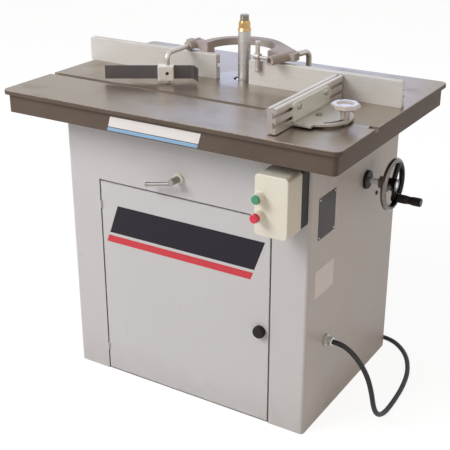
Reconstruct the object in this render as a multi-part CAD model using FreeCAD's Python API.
import FreeCAD, Part
import math
import os

# Spindle moulder: a cast table on a sheet-steel cabinet, a belt-driven spindle that a handwheel raises,
# a split fence with a hold-down, and a mitre gauge. Millimetres, +Z up, +X right, +Y to the back.
# The origin is on the floor under the middle of the cabinet.

Vector = FreeCAD.Vector
X_AXIS = Vector(1, 0, 0)
Y_AXIS = Vector(0, 1, 0)
Z_AXIS = Vector(0, 0, 1)

# Fits and gaps
running_clearance = 0.05  # radial, a shaft or pin in its bore
sliding_gap = 0.3  # flat faces that slide past each other
loose_gap = 0.8  # pieces that pass each other without touching

# Table
table_length = 1000.0
table_width = 702.0
table_top_z = 860.0
table_depth = 62.0  # top face to the lower edge of the skirt
table_shift_y = -46.0  # table middle, forward of the cabinet middle
table_plate = 16.0
table_lip_depth = 12.0
table_lip_reach = 10.0
table_lip_round = 2.5
table_skirt_wall = 12.0
table_corner_radius = 20.0
skirt_corner_radius = 14.0
hollow_corner_radius = 8.0
table_seat_width = 34.0  # rib ring that sits on the cabinet
table_rib_width = 12.0
table_rib_depth = 22.0
table_rib_spread = 250.0  # cross ribs, left and right of the middle
table_rear_rib_y = 180.0
mitre_slot_width = 19.0
mitre_slot_depth = 9.5
mitre_slot_y = -190.0
slot_rib_width = 44.0
opening_radius = 76.0
ring_seat_radius = 90.0
ring_seat_depth = 8.0

# Ring inserts round the spindle
outer_ring_bore = 62.0
outer_ring_ledge = 5.0  # ledge that carries the inner ring
inner_ring_depth = 4.0
inner_ring_bore = 29.0
ring_clearance = 0.2

# Cabinet
cabinet_width = 760.0
cabinet_depth = 562.0
sheet = 2.5
cabinet_bend = 10.0
cabinet_flange = 36.0
back_opening_width = 480.0
back_opening_bottom = 150.0
back_opening_top = 650.0
back_panel_overlap = 22.0
louvre_length = 70.0
louvre_height = 7.0
louvre_pitch = 22.0
louvre_rows = 6
louvre_columns = 3
louvre_spacing = 110.0
louvre_bottom = 240.0
base_plate = 4.0
base_flange = 40.0
anchor_radius = 7.0
anchor_x = 330.0
anchor_y = 230.0

# Door, hinges and latch
door_width = 540.0
door_bottom = 6.0
door_top = 606.0
door_gap = 4.5
door_return = 20.0
door_frame_depth = 24.0
door_frame_lip = 14.0
hinge_heights = (77.0, 536.0)
knuckle_radius = 5.0
knuckle_height = 10.5
knuckle_spacing = 0.6
hinge_pin_radius = 2.5
hinge_leaf = 30.0
hinge_leaf_thickness = 2.5
latch_inset = 25.0  # knob, in from the free edge of the door
latch_z = 282.0
latch_knob_radius = 16.5
latch_knob_depth = 16.0
latch_knob_dome = 4.0
latch_shaft_radius = 6.0
latch_collar_radius = 10.0
latch_collar_depth = 4.0
latch_cam_length = 27.0
latch_cam_width = 16.0
latch_cam_thickness = 3.0

# Fasteners
m8_radius = 4.0
m10_radius = 5.0
m12_radius = 6.0
m8_flats = 13.0
m10_flats = 17.0
m12_flats = 19.0
bolt_head_share = 0.65  # head height over thread diameter
bolt_end = 2.5  # thread past a nut
bolt_engagement = 18.0
screw_head_radius = 5.0
screw_head_depth = 2.6
screw_radius = 2.5

# Spindle
spindle_y = 42.0
spindle_top_z = 1040.0
spindle_nose_radius = 12.5
spindle_thread_radius = 12.0
spindle_thread_length = 44.0
spindle_chamfer = 2.0
shoulder_radius = 23.0
shoulder_depth = 14.0
shoulder_drop = 2.0  # shoulder face below the table top
journal_radius = 20.0
spindle_body_radius = 24.0
pulley_seat_radius = 15.0
collar_radius = 17.5
collar_heights = (48.0, 40.0, 20.0, 30.0)
collar_chamfer = 0.8
nut_flange_radius = 19.5
nut_flange_depth = 7.0
nut_flats = 28.0
nut_hex_depth = 20.0

# Carriage that carries spindle and motor
barrel_radius = 58.0
barrel_bore = 30.0
barrel_top = 790.0
barrel_bottom = 600.0
bearing_radius = 45.0
bearing_width = 25.0
bearing_groove = 2.0
bearing_shield_inner = 27.0
bearing_shield_outer = 38.0
column_radius = 16.0
column_x = 90.0
column_y = -20.0
guide_radius = 30.0
carriage_web = 16.0
front_web = 14.0
front_web_margin = 12.0
motor_plate_top = 512.0
motor_plate_thickness = 12.0
motor_plate_margin = 4.0
motor_arm_radius = 60.0

# Slide bracket under the table
bracket_depth = 20.0
bracket_left = -140.0
bracket_right = 200.0
bracket_front = -78.0
bracket_back = 118.0
bracket_corner = 16.0
bracket_bolt_inset = 16.0
bracket_opening = 52.0
lock_leg_width = 60.0
lock_leg_depth = 14.0
lock_leg_drop = 30.0  # below the lock screw
tie_bottom = 396.0
tie_depth = 18.0
tie_radius = 28.0

# Lifting screw, bevel gears and handwheel
screw_x = 160.0
screw_y = 55.0
lift_screw_radius = 10.0
screw_journal_radius = 8.0
nut_arm_radius = 24.0
nut_arm_bottom = 516.0
nut_arm_depth = 40.0
lift_nut_radius = 15.0
lift_nut_flange_radius = 21.0
lift_nut_flange_depth = 6.0
wheel_axis_z = 630.0
gear_radius = 25.0
gear_face = 10.0
gear_hub_radius = 15.0
gear_hub_depth = 12.0
gear_mesh_gap = 0.4
gear_tooth_count = 18
gear_groove_radius = 1.5
wheel_shaft_radius = 8.5
wall_flange_radius = 26.0
wall_flange_depth = 9.0
wall_flange_round = 3.0
wall_sleeve_radius = 17.0
wall_sleeve_depth = 30.0
wheel_plane = 76.0  # wheel middle, out from the cabinet side
wheel_rim_radius = 65.0
wheel_rim_section = 8.0
wheel_hub_radius = 17.0
wheel_hub_inner = 40.0  # hub's inner face, out from the cabinet side
wheel_hub_outer = 88.0
spoke_count = 3
spoke_radius = 7.0
grip_angle = -62.0  # from +Y, turned about +X
grip_offset = 52.0
grip_boss_radius = 12.0
grip_radius = 12.0
grip_waist = 10.3
grip_length = 66.0
grip_shoulder = 22.0  # from each end to where the waist starts
grip_bolt_radius = 4.0
grip_bolt_head = 6.5
grip_bolt_head_depth = 4.0

# Motor and belt drive
motor_x = -215.0
motor_y = 150.0
motor_flange_radius = 100.0
motor_flange_depth = 14.0
motor_core_radius = 90.0
motor_length = 280.0
motor_fin_count = 24
motor_fin_height = 12.0
motor_fin_width = 3.0
motor_end_depth = 18.0
fan_cover_radius = 98.0
fan_cover_depth = 62.0
fan_cover_wall = 2.0
fan_cover_round = 5.0
fan_slot_circle = 78.0
fan_slot_width = 6.0
fan_slot_pitch = 14.0
fan_slot_half_count = 4
terminal_width = 92.0
terminal_neck_width = 46.0
terminal_height = 100.0
terminal_depth = 44.0
terminal_drop = 80.0  # below the motor flange
terminal_round = 8.0
motor_shaft_radius = 19.0
motor_shaft_socket = 28.0
motor_bolt_circle = 82.0
motor_bolt_count = 4
motor_bolt_angle = 45.0  # first bolt, from +X
belt_level = 560.0
belt_spacing = 19.0
belt_top_width = 13.0
belt_bottom_width = 8.0
belt_thickness = 8.0
belt_clearance = 0.5
motor_pulley_pitch = 58.0
spindle_pulley_pitch = 36.0
pulley_width = 50.0
pulley_rim = 3.0  # pulley rim past the pitch line
pulley_groove_floor = 6.0  # groove floor inside the pitch line

# Lock lever
lock_x = -6.0
lock_z = 664.0
lock_screw_radius = 7.0
lock_bush_radius = 15.0
lock_bush_depth = 7.0
lock_bush_sleeve = 10.0
lock_sleeve_depth = 5.0
lock_hub_radius = 9.0
lock_hub_length = 32.0
lock_hub_round = 1.5
lock_arm_radius = 5.5
lock_arm_length = 84.0
lock_arm_tilt = 12.0  # below the horizontal
lock_arm_drop = 5.0  # arm root below the hub's middle
lock_arm_place = 24.0  # along the hub, out from the bush
lock_tip_radius = 6.5

# Switch box
switch_left = 283.0
switch_right = 374.0
switch_bottom = 612.0
switch_top = 770.0
switch_base_depth = 40.0
switch_base_inset = 1.0
switch_cover_depth = 69.0
switch_corner = 12.0
switch_front_round = 3.5
switch_wall = 3.0
button_x = 300.0
start_z = 713.0
stop_z = 667.0
button_radius = 11.0
start_reach = 27.0  # out from the cover
stop_reach = 33.0
button_round = 2.2
button_collar_radius = 13.5
button_collar_depth = 21.0
button_collar_round = 1.2
button_stem_radius = 7.5
button_stem_length = 12.0
button_seat = 5.0  # cap's inner face, out from the cover

# Fence
fence_x = -11.0  # middle of the fence
fence_face_y = -4.0
fence_plate_length = 444.0
fence_plate_height = 68.5
fence_plate_thickness = 20.0
fence_plate_corner = 6.0
fence_plate_round = 1.2
fence_gap = 104.0
fence_slot_neck = 12.0
fence_slot_head = 20.0
fence_slot_floor = 12.0  # depth of the slot from the back face
fence_slot_lip = 5.0
fence_slot_z = 36.0  # slot middle above the table
bow_outer = 120.0
bow_inner = 95.0
bow_bottom = 933.0
bow_depth = 20.0
bow_y = 42.0
bow_round = 4.0
leg_depth = 28.0
flange_reach = 130.0  # plate-carrying flange, outward from the leg
flange_thickness = 11.0
flange_margin = 6.0
foot_depth = 12.0
foot_back = 118.0
stud_spread = 150.0  # studs, left and right of the middle
stud_y = 95.0
fence_travel = 40.0
stud_slot_radius = 7.0
stud_height = 18.0  # above the foot
fence_knob_radius = 22.0
fence_knob_depth = 12.0
fence_knob_lobes = 6
fence_knob_lobe_radius = 6.0
fence_knob_lobe_circle = 24.0  # middles of the hollows between the lobes
left_lug_spread = 145.0  # rods on their lugs, from the fence middle
right_lug_spread = 155.0
right_rod_turn = 13.0  # right rod, turned from the +Y direction towards +X
lug_half_width = 24.0
lug_front = 20.0
lug_back = 48.0
rod_z = 943.0
rod_radius = 7.0
parked_rod_radius = 8.0
rod_boss_radius = 12.8
left_boss_front = -6.0
right_boss_front = -45.0
rod_boss_back = 54.0
web_bore_reach = 30.0  # right rod's bore past its boss, through the web
spot_face_depth = 1.5
plate_bolt_places = (38.0, 100.0)  # outward from the leg
bolt_head_square = 17.0
bolt_head_thickness = 3.6

# Rod clamp with its tee bar, on the right lug
clamp_y = -28.0  # before the right boss is turned
clamp_screw_radius = 5.0
clamp_reach = 66.0
clamp_hub_radius = 9.0
clamp_hub_length = 17.0
tee_bar_radius = 6.0
tee_bar_length = 84.0
tee_knob_radius = 7.5
tee_knob_length = 9.0
tee_knob_round = 1.9

# Hold-down and parked rod
hold_y = -108.0
rod_bend = 18.0
rod_back_reach = 16.0  # rod past the back of its boss
rod_foot_gap = 2.5
hold_angle = 31.5  # band turned from the X direction
block_width = 44.0
block_depth = 32.0
block_bottom = 868.0
block_height = 42.0
block_round = 3.0
block_shift = 2.0  # block middle behind the rod axis
block_offset = 4.0  # block middle to the left of the rod axis
block_screw_radius = 5.0
block_screw_recess = 4.0
band_left = 172.5
band_right = 63.5
band_height = 37.0
band_thickness = 2.4
band_offset = 11.5  # band middle behind the rod axis
band_z = 888.0
band_curl_radius = 12.0
band_curl_angle = 70.0
band_tip = 28.0
parked_rod_front = -36.0
parked_rod_bend_y = 118.0
parked_rod_bottom = 897.0

# Mitre gauge
gauge_inset = 152.0  # pivot, in from the right end of the table
gauge_bar_left = 150.0
gauge_bar_right = 132.0
gauge_bar_clearance = 0.3
head_plate = 5.0
head_wall_corner = 10.0
head_lift = 5.0  # head plate above the table
head_arc_radius = 84.0
head_half_length = 97.0
head_tab_width = 50.0
head_tab_length = 34.0
head_wall_height = 54.0
arc_slot_radius = 68.0
arc_slot_width = 9.0
arc_slot_half_angle = 52.0
extrusion_width = 24.0
extrusion_height = 62.0
extrusion_lift = 3.0
extrusion_ridge_round = 4.0
extrusion_front = -367.0
extrusion_back = -9.0
extrusion_slot_neck = 8.0
extrusion_slot_head = 13.0
extrusion_slot_lip = 3.0
extrusion_slot_floor = 9.0
extrusion_slot_heights = (20.0, 43.0)
top_slot_neck = 6.0
top_slot_depth = 7.0
pivot_screw_radius = 5.0
pivot_head_radius = 8.0
pivot_head_depth = 4.0
gauge_bolt_spread = 72.0
gauge_bolt_head_depth = 5.0
tab_screw_spread = 82.0
tab_screw_reach = 26.0
gauge_knob_radius = 36.0
gauge_knob_sides = 8
gauge_knob_depth = 13.0
gauge_knob_chamfer = 2.6
gauge_knob_dish = 22.0
gauge_knob_dish_depth = 4.0
gauge_knob_stem_radius = 11.0
gauge_knob_stem = 26.0
gauge_stud_radius = 4.0

# Wall plug, gland, cord and plug
wall_plug_y = 132.0
wall_plug_z = 565.0
wall_plug_radius = 5.5
wall_plug_depth = 3.0
wall_plug_stem = 4.0
wall_plug_stem_depth = 5.0
cord_radius = 7.0
cord_arc_share = 0.45  # of the shorter run, taken by the arc at a point
gland_y = -168.0
gland_z = 241.0
gland_flats = 30.0
gland_hex_depth = 8.0
gland_dome_radius = 12.0
gland_dome_round = 3.0
gland_dome_length = 18.0
gland_thread_radius = 11.0
gland_thread_length = 12.0
tie_strap = 1.2
tie_strap_width = 12.0
tie_strap_gap = 0.3
coil_x = 80.0
coil_tail = 62.0  # straight end that reaches the plug
coil_y = 395.0
coil_radius = 95.0
coil_pitch = 18.0
coil_layer_gap = 1.2
coil_half_turns = 4  # in each layer
plug_radius = 21.0
plug_length = 52.0
plug_neck_radius = 11.0
plug_neck_length = 18.0
plug_face_depth = 8.0
plug_pin_radius = 2.6
plug_pin_length = 19.0
plug_pin_circle = 11.0
plug_pin_count = 3

# Places that follow from the sizes above
table_x = table_length / 2
table_front = table_shift_y - table_width / 2
table_back = table_shift_y + table_width / 2
table_under = table_top_z - table_plate
cabinet_top = table_top_z - table_depth
cabinet_x = cabinet_width / 2
cabinet_y = cabinet_depth / 2
cabinet_front = -cabinet_y
door_x = door_width / 2
hinge_x = -door_x - door_gap / 2
latch_x = door_x - latch_inset
bracket_bottom = table_under - bracket_depth
shoulder_z = table_top_z - shoulder_drop
collar_top = shoulder_z + sum(collar_heights)
motor_plate_bottom = motor_plate_top - motor_plate_thickness
motor_bottom = motor_plate_bottom - motor_length
fence_back_y = fence_face_y + fence_plate_thickness
fence_floor = table_top_z + sliding_gap
fence_plate_top = fence_floor + fence_plate_height
leg_middle = (bow_outer + bow_inner) / 2
leg_half_width = (bow_outer - bow_inner) / 2
bow_top = bow_bottom + bow_depth
switch_face = cabinet_front - switch_base_depth - switch_cover_depth
wheel_x = cabinet_x + wheel_plane
wheel_y = screw_y
grip_y = wheel_y + grip_offset * math.cos(math.radians(grip_angle))
grip_z = wheel_axis_z + grip_offset * math.sin(math.radians(grip_angle))
grip_x = wheel_x + wheel_rim_section + loose_gap
pivot_x = table_x - gauge_inset
head_bottom = table_top_z + head_lift
extrusion_right = pivot_x - extrusion_width
extrusion_bottom = table_top_z + extrusion_lift
knob_x = pivot_x + arc_slot_radius
lug_left_x = fence_x - left_lug_spread
lug_right_x = fence_x + right_lug_spread
lug_y = (lug_front + lug_back) / 2
cord_diameter = 2 * cord_radius
coil_floor = cord_radius + tie_strap + tie_strap_gap
gland_nose = cabinet_x + gland_hex_depth + gland_dome_length

# The cord's route from the gland to its coil: out, down to the floor and round behind the cabinet
cord_route = [
    Vector(gland_nose, gland_y, gland_z),
    Vector(425.0, gland_y, gland_z),
    Vector(444.0, gland_y, 235.5),
    Vector(462.0, gland_y, 225.0),
    Vector(479.0, gland_y, 210.0),
    Vector(497.0, gland_y, 188.0),
    Vector(514.0, gland_y, 158.0),
    Vector(526.0, gland_y, 117.0),
    Vector(532.0, -162.0, 70.0),
    Vector(534.0, -134.0, 33.0),
    Vector(534.0, -84.0, 10.0),
    Vector(533.0, -20.0, cord_radius),
    Vector(527.0, 70.0, cord_radius),
    Vector(508.0, 165.0, cord_radius),
    Vector(462.0, 258.0, cord_radius),
    Vector(385.0, 318.0, cord_radius),
    Vector(290.0, 296.0, cord_radius),
    Vector(192.0, coil_y - coil_radius, coil_floor),
    Vector(coil_x + cord_diameter, coil_y - coil_radius, coil_floor),
]


def box(x0, x1, y0, y1, z0, z1):
    """A block between two corners."""
    return Part.makeBox(x1 - x0, y1 - y0, z1 - z0, Vector(x0, y0, z0))


def rod(radius, start, end):
    """A round bar between two points."""
    axis = end - start
    return Part.makeCylinder(radius, axis.Length, start, axis)


def upright(radius, x, y, z0, z1):
    """A round bar that stands at a plan point."""
    return Part.makeCylinder(radius, z1 - z0, Vector(x, y, z0))


def along_x(radius, x0, x1, y, z):
    """A round bar along X."""
    return rod(radius, Vector(x0, y, z), Vector(x1, y, z))


def along_y(radius, y0, y1, x, z):
    """A round bar along Y."""
    return rod(radius, Vector(x, y0, z), Vector(x, y1, z))


def placed(shape, base, axis):
    """The shape moved to a base point, with its Z direction turned to an axis."""
    shape.Placement = FreeCAD.Placement(base, FreeCAD.Rotation(Z_AXIS, axis))
    return shape


def turned(profile, base, axis):
    """A solid of revolution from (radius, distance along the axis) points."""
    points = [Vector(radius, 0, distance) for radius, distance in profile]
    face = Part.Face(Part.makePolygon(points + points[:1]))
    return placed(face.revolve(Vector(0, 0, 0), Z_AXIS, 360), base, axis)


def prism(points, direction):
    """A straight bar with a polygon outline."""
    return Part.Face(Part.makePolygon(points + points[:1])).extrude(direction)


def polygon_bar(sides, radius, base, axis, length):
    """A regular bar; radius is to its corners."""
    step = 2 * math.pi / sides
    corners = [Vector(radius * math.cos((i + 0.5) * step), radius * math.sin((i + 0.5) * step), 0)
               for i in range(sides)]
    return placed(prism(corners, Z_AXIS * length), base, axis)


def hexagon(flats, base, axis, length):
    """A hexagon bar by its width across flats."""
    return polygon_bar(6, flats / math.sqrt(3), base, axis, length)


def united(*shapes):
    """One solid from shapes that touch."""
    return shapes[0].multiFuse(list(shapes[1:])).removeSplitter()


def edges_along(shape, axis):
    """The straight edges that run along an axis."""
    found = []
    for edge in shape.Edges:
        if isinstance(edge.Curve, Part.Line) and edge.Curve.Direction.cross(axis).Length < 1e-6:
            found.append(edge)
    return found


def rounded_slab(x0, x1, y0, y1, z0, z1, radius, axis=Z_AXIS):
    """A block with the four edges along an axis rounded."""
    slab = box(x0, x1, y0, y1, z0, z1)
    return slab.makeFillet(radius, edges_along(slab, axis))


def strap(p, q, radius, z0, z1):
    """A flat bar with round ends between two plan points."""
    start = Vector(p[0], p[1], z0)
    end = Vector(q[0], q[1], z0)
    side = Z_AXIS.cross((end - start).normalize()) * radius
    rise = Z_AXIS * (z1 - z0)
    middle = prism([start + side, start - side, end - side, end + side], rise)
    return united(middle, Part.makeCylinder(radius, z1 - z0, start), Part.makeCylinder(radius, z1 - z0, end))


def bolt(radius, flats, seat, axis, length):
    """A hexagon bolt: its shank runs from the seat along the axis, its head stands behind the seat."""
    head_depth = 2 * radius * bolt_head_share
    return united(rod(radius, seat, seat + axis * length),
                  hexagon(flats, seat - axis * head_depth, axis, head_depth))


def pan_screw(seat, axis, length):
    """A small round-headed screw."""
    head = Part.makeCylinder(screw_head_radius, screw_head_depth, seat, axis * -1)
    head_end = seat - axis * screw_head_depth
    head = head.makeFillet(screw_head_depth / 2,
                           [e for e in head.Edges if e.BoundBox.Center.distanceToPoint(head_end)
                                                  < screw_head_depth / 2])
    return united(rod(screw_radius, seat, seat + axis * length), head)


def arc_from(start, tangent, end):
    """The arc that leaves a point along a tangent and ends at another point."""
    chord = end - start
    lean = tangent + Vector(chord).normalize()
    return Part.Arc(start, start + lean * (chord.Length / lean.Length ** 2), end)


def swept(edges, radius):
    """A round tube along joined edges."""
    path = Part.Wire(edges)
    start = path.Edges[0].valueAt(path.Edges[0].FirstParameter)
    tangent = path.Edges[0].tangentAt(path.Edges[0].FirstParameter)
    ring = Part.Wire(Part.makeCircle(radius, start, tangent))
    return path.makePipeShell([ring], True, False)


def bent_rod(points, bend_radius, radius):
    """A round bar through points, with the same bend at each inner point."""
    edges = []
    place = points[0]
    for before, corner, after in zip(points, points[1:], points[2:]):
        inward = Vector(corner - before).normalize()
        outward = Vector(after - corner).normalize()
        reach = bend_radius * math.tan(inward.getAngle(outward) / 2)
        bend_start = corner - inward * reach
        bend_end = corner + outward * reach
        edges.append(Part.LineSegment(place, bend_start).toShape())
        edges.append(arc_from(bend_start, inward, bend_end).toShape())
        place = bend_end
    edges.append(Part.LineSegment(place, points[-1]).toShape())
    return swept(edges, radius)


# Table and cabinet

def cabinet_bolt_places():
    """Plan points of the bolts between the cabinet flange and the table."""
    reach_x = cabinet_x - sheet - cabinet_flange / 2
    reach_y = cabinet_y - sheet - cabinet_flange / 2
    return [(x, y) for x in (-reach_x, 0, reach_x) for y in (-reach_y, reach_y)]


def bracket_bolt_places():
    """Plan points of the bolts between the slide bracket and the table."""
    xs = (bracket_left + bracket_bolt_inset, bracket_right - bracket_bolt_inset)
    ys = (bracket_front + bracket_bolt_inset, bracket_back - bracket_bolt_inset)
    return [(x, y) for x in xs for y in ys]


def stud_places():
    """Plan points of the fence studs."""
    return [(fence_x + side * stud_spread, stud_y) for side in (-1, 1)]


def make_table():
    """Cast table: lipped plate, skirt, ribs, mitre slot and stepped spindle opening."""
    lip = rounded_slab(-table_x, table_x, table_front, table_back, table_top_z - table_lip_depth,
                       table_top_z, table_corner_radius)
    lip = lip.makeFillet(table_lip_round,
                         [e for e in lip.Edges if abs(e.BoundBox.ZMin - table_top_z) < 1e-6])
    skirt_x = table_x - table_lip_reach
    skirt_front = table_front + table_lip_reach
    skirt_back = table_back - table_lip_reach
    skirt = rounded_slab(-skirt_x, skirt_x, skirt_front, skirt_back, cabinet_top,
                         table_top_z - table_lip_depth, skirt_corner_radius)
    hollow = rounded_slab(-skirt_x + table_skirt_wall, skirt_x - table_skirt_wall,
                          skirt_front + table_skirt_wall,
                          skirt_back - table_skirt_wall, cabinet_top, table_under, hollow_corner_radius)
    seat_x = cabinet_x - table_seat_width
    seat_y = cabinet_y - table_seat_width
    seat = box(-cabinet_x, cabinet_x, -cabinet_y, cabinet_y, cabinet_top, table_under)
    seat = seat.cut(box(-seat_x, seat_x, -seat_y, seat_y, cabinet_top, table_under))
    rib_bottom = table_under - table_rib_depth
    ribs = [box(x - table_rib_width / 2, x + table_rib_width / 2, skirt_front, skirt_back, rib_bottom,
                table_under)
            for x in (-table_rib_spread, table_rib_spread)]
    ribs.append(box(-skirt_x, skirt_x, table_rear_rib_y - table_rib_width / 2,
                    table_rear_rib_y + table_rib_width / 2, rib_bottom, table_under))
    ribs.append(box(-skirt_x, skirt_x, mitre_slot_y - slot_rib_width / 2, mitre_slot_y + slot_rib_width / 2,
                    rib_bottom, table_under))
    table = united(lip, skirt).cut(hollow)
    table = united(table, seat, *ribs)
    cuts = [box(-table_x, table_x, mitre_slot_y - mitre_slot_width / 2, mitre_slot_y + mitre_slot_width / 2,
                table_top_z - mitre_slot_depth, table_top_z)]
    cuts.append(upright(opening_radius, 0, spindle_y, rib_bottom, table_top_z))
    cuts.append(upright(ring_seat_radius, 0, spindle_y, table_top_z - ring_seat_depth, table_top_z))
    cuts += [upright(m10_radius, x, y, cabinet_top, cabinet_top + bolt_engagement)
             for x, y in cabinet_bolt_places()]
    cuts += [upright(m12_radius, x, y, table_under, table_under + table_plate / 2)
             for x, y in bracket_bolt_places()]
    cuts += [upright(m12_radius, x, y, table_under, table_top_z) for x, y in stud_places()]
    return table.cut(cuts)


def make_outer_ring():
    """Ring that fills the table opening and carries the inner ring."""
    outer = ring_seat_radius - ring_clearance
    floor = table_top_z - ring_seat_depth
    step = table_top_z - inner_ring_depth
    ledge = outer_ring_bore - outer_ring_ledge
    profile = [(ledge, floor), (outer, floor), (outer, table_top_z), (outer_ring_bore, table_top_z),
               (outer_ring_bore, step), (ledge, step)]
    return turned(profile, Vector(0, spindle_y, 0), Z_AXIS)


def make_inner_ring():
    """Thin ring round the spindle."""
    outer = outer_ring_bore - ring_clearance
    ring = upright(outer, 0, spindle_y, table_top_z - inner_ring_depth, table_top_z)
    return ring.cut(upright(inner_ring_bore, 0, spindle_y, table_top_z - inner_ring_depth, table_top_z))


def door_frame():
    """Return and lip at the sides and top of the door opening, standing on the floor pan."""
    open_x = door_x + door_gap
    low = base_plate
    high = door_top + door_gap
    back = cabinet_front + door_frame_depth
    frame = box(-open_x - sheet, open_x + sheet, cabinet_front + sheet, back + sheet, low, high + sheet)
    frame = frame.cut(box(-open_x, open_x, cabinet_front, back, low, high))
    return frame.cut(box(door_frame_lip - open_x, open_x - door_frame_lip, back, back + sheet, low,
                         high - door_frame_lip))


def hinge_notches():
    """Room for the hinge knuckles in the door edge and in the frame."""
    reach = knuckle_radius + loose_gap
    height = knuckle_height + knuckle_spacing / 2 + loose_gap
    return Part.makeCompound([box(hinge_x - reach, hinge_x + reach, cabinet_front - reach,
                                  cabinet_front + reach, z - height, z + height) for z in hinge_heights])


def make_cabinet_shell():
    """Sheet-steel body with its top flange, door opening and frame, rear opening and bored holes."""
    shell = rounded_slab(-cabinet_x, cabinet_x, -cabinet_y, cabinet_y, 0, cabinet_top, cabinet_bend)
    inner_x = cabinet_x - sheet
    inner_y = cabinet_y - sheet
    shell = shell.cut(rounded_slab(-inner_x, inner_x, -inner_y, inner_y, 0, cabinet_top,
                                   cabinet_bend - sheet))
    flange = rounded_slab(-inner_x, inner_x, -inner_y, inner_y, cabinet_top - sheet, cabinet_top,
                          cabinet_bend - sheet)
    flange = flange.cut(box(cabinet_flange - inner_x, inner_x - cabinet_flange, cabinet_flange - inner_y,
                            inner_y - cabinet_flange, cabinet_top - sheet, cabinet_top))
    opening = box(-door_x - door_gap, door_x + door_gap, cabinet_front, cabinet_front + sheet, 0,
                  door_top + door_gap)
    shell = united(shell.cut(opening), flange, door_frame())
    half = back_opening_width / 2
    cuts = [box(-half, half, inner_y, cabinet_y, back_opening_bottom, back_opening_top)]
    cuts.append(hinge_notches())
    cuts += [upright(m10_radius, x, y, cabinet_top - sheet, cabinet_top) for x, y in cabinet_bolt_places()]
    cuts.append(along_x(wall_sleeve_radius, inner_x, cabinet_x, wheel_y, wheel_axis_z))
    cuts.append(along_x(gland_thread_radius, inner_x, cabinet_x, gland_y, gland_z))
    cuts.append(along_x(wall_plug_stem, inner_x, cabinet_x, wall_plug_y, wall_plug_z))
    cuts.append(along_y(lock_bush_sleeve, cabinet_front, cabinet_front + sheet, lock_x, lock_z))
    return shell.cut(cuts)


def make_cabinet_base():
    """Floor pan with side flanges and four anchor holes."""
    inner_x = cabinet_x - sheet
    inner_y = cabinet_y - sheet
    pan = rounded_slab(-inner_x, inner_x, -inner_y, inner_y, 0, base_plate, cabinet_bend - sheet)
    flange_y = inner_y - cabinet_bend - door_frame_depth
    sides = [box(min(x, x + sheet), max(x, x + sheet), -flange_y, flange_y, base_plate, base_flange)
             for x in (-inner_x, inner_x - sheet)]
    holes = [upright(anchor_radius, x, y, 0, base_plate) for x in (-anchor_x, anchor_x)
             for y in (-anchor_y, anchor_y)]
    return united(pan, *sides).cut(holes)


def make_frame_bolts():
    """Bolts that hold the cabinet and the slide bracket to the table, and the screws of the rear panel."""
    seat = cabinet_top - sheet
    bolts = [bolt(m10_radius, m10_flats, Vector(x, y, seat), Z_AXIS, sheet + bolt_engagement)
             for x, y in cabinet_bolt_places()]
    bolts += [bolt(m12_radius, m12_flats, Vector(x, y, bracket_bottom), Z_AXIS,
                   bracket_depth + table_plate / 2)
              for x, y in bracket_bolt_places()]
    seat = cabinet_y + sheet
    bolts += [pan_screw(Vector(x, seat, z), Y_AXIS * -1, sheet) for x, z in back_screw_places()]
    return Part.makeCompound(bolts)


def back_panel_box():
    """Half width, bottom and top of the rear panel."""
    return (back_opening_width / 2 + back_panel_overlap, back_opening_bottom - back_panel_overlap,
            back_opening_top + back_panel_overlap)


def back_screw_places():
    """Points of the rear panel's screws."""
    half, low, high = back_panel_box()
    inset = back_panel_overlap / 2
    return [(x, z) for x in (inset - half, half - inset)
            for z in (low + inset, (low + high) / 2, high - inset)]


def make_back_panel():
    """Louvred plate over the rear opening."""
    half, low, high = back_panel_box()
    panel = box(-half, half, cabinet_y, cabinet_y + sheet, low, high)
    slots = []
    for row in range(louvre_rows):
        for column in range(louvre_columns):
            x = (column - (louvre_columns - 1) / 2) * louvre_spacing
            z = louvre_bottom + row * louvre_pitch
            slots.append(box(x - louvre_length / 2, x + louvre_length / 2, cabinet_y, cabinet_y + sheet,
                             z, z + louvre_height))
    slots += [along_y(screw_radius, cabinet_y, cabinet_y + sheet, x, z) for x, z in back_screw_places()]
    return panel.cut(slots)


# Door

def make_door():
    """Door pan: front sheet with four returned edges."""
    back = cabinet_front + door_return
    door = box(-door_x, door_x, cabinet_front, back, door_bottom, door_top)
    door = door.cut(box(sheet - door_x, door_x - sheet, cabinet_front + sheet, back, door_bottom + sheet,
                        door_top - sheet))
    hole = along_y(latch_shaft_radius + running_clearance, cabinet_front, cabinet_front + sheet, latch_x,
                   latch_z)
    return door.cut([hinge_notches(), hole])


def hinge_halves(side, bore):
    """Knuckles with leaves: side -1 is the frame half below, +1 the door half above."""
    halves = []
    for middle in hinge_heights:
        near = middle + side * knuckle_spacing / 2
        low, high = sorted((near, near + side * knuckle_height))
        left, right = sorted((hinge_x, hinge_x + side * hinge_leaf))
        leaf = box(left, right, cabinet_front + sheet, cabinet_front + sheet + hinge_leaf_thickness, low,
                   high)
        half = united(upright(knuckle_radius, hinge_x, cabinet_front, low, high), leaf)
        halves.append(half.cut(upright(bore, hinge_x, cabinet_front, low, high)))
    return halves


def hinge_pins():
    """Hinge pins, held in the frame halves."""
    reach = knuckle_height + knuckle_spacing / 2
    return [upright(hinge_pin_radius, hinge_x, cabinet_front, z - reach, z + reach) for z in hinge_heights]


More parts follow.
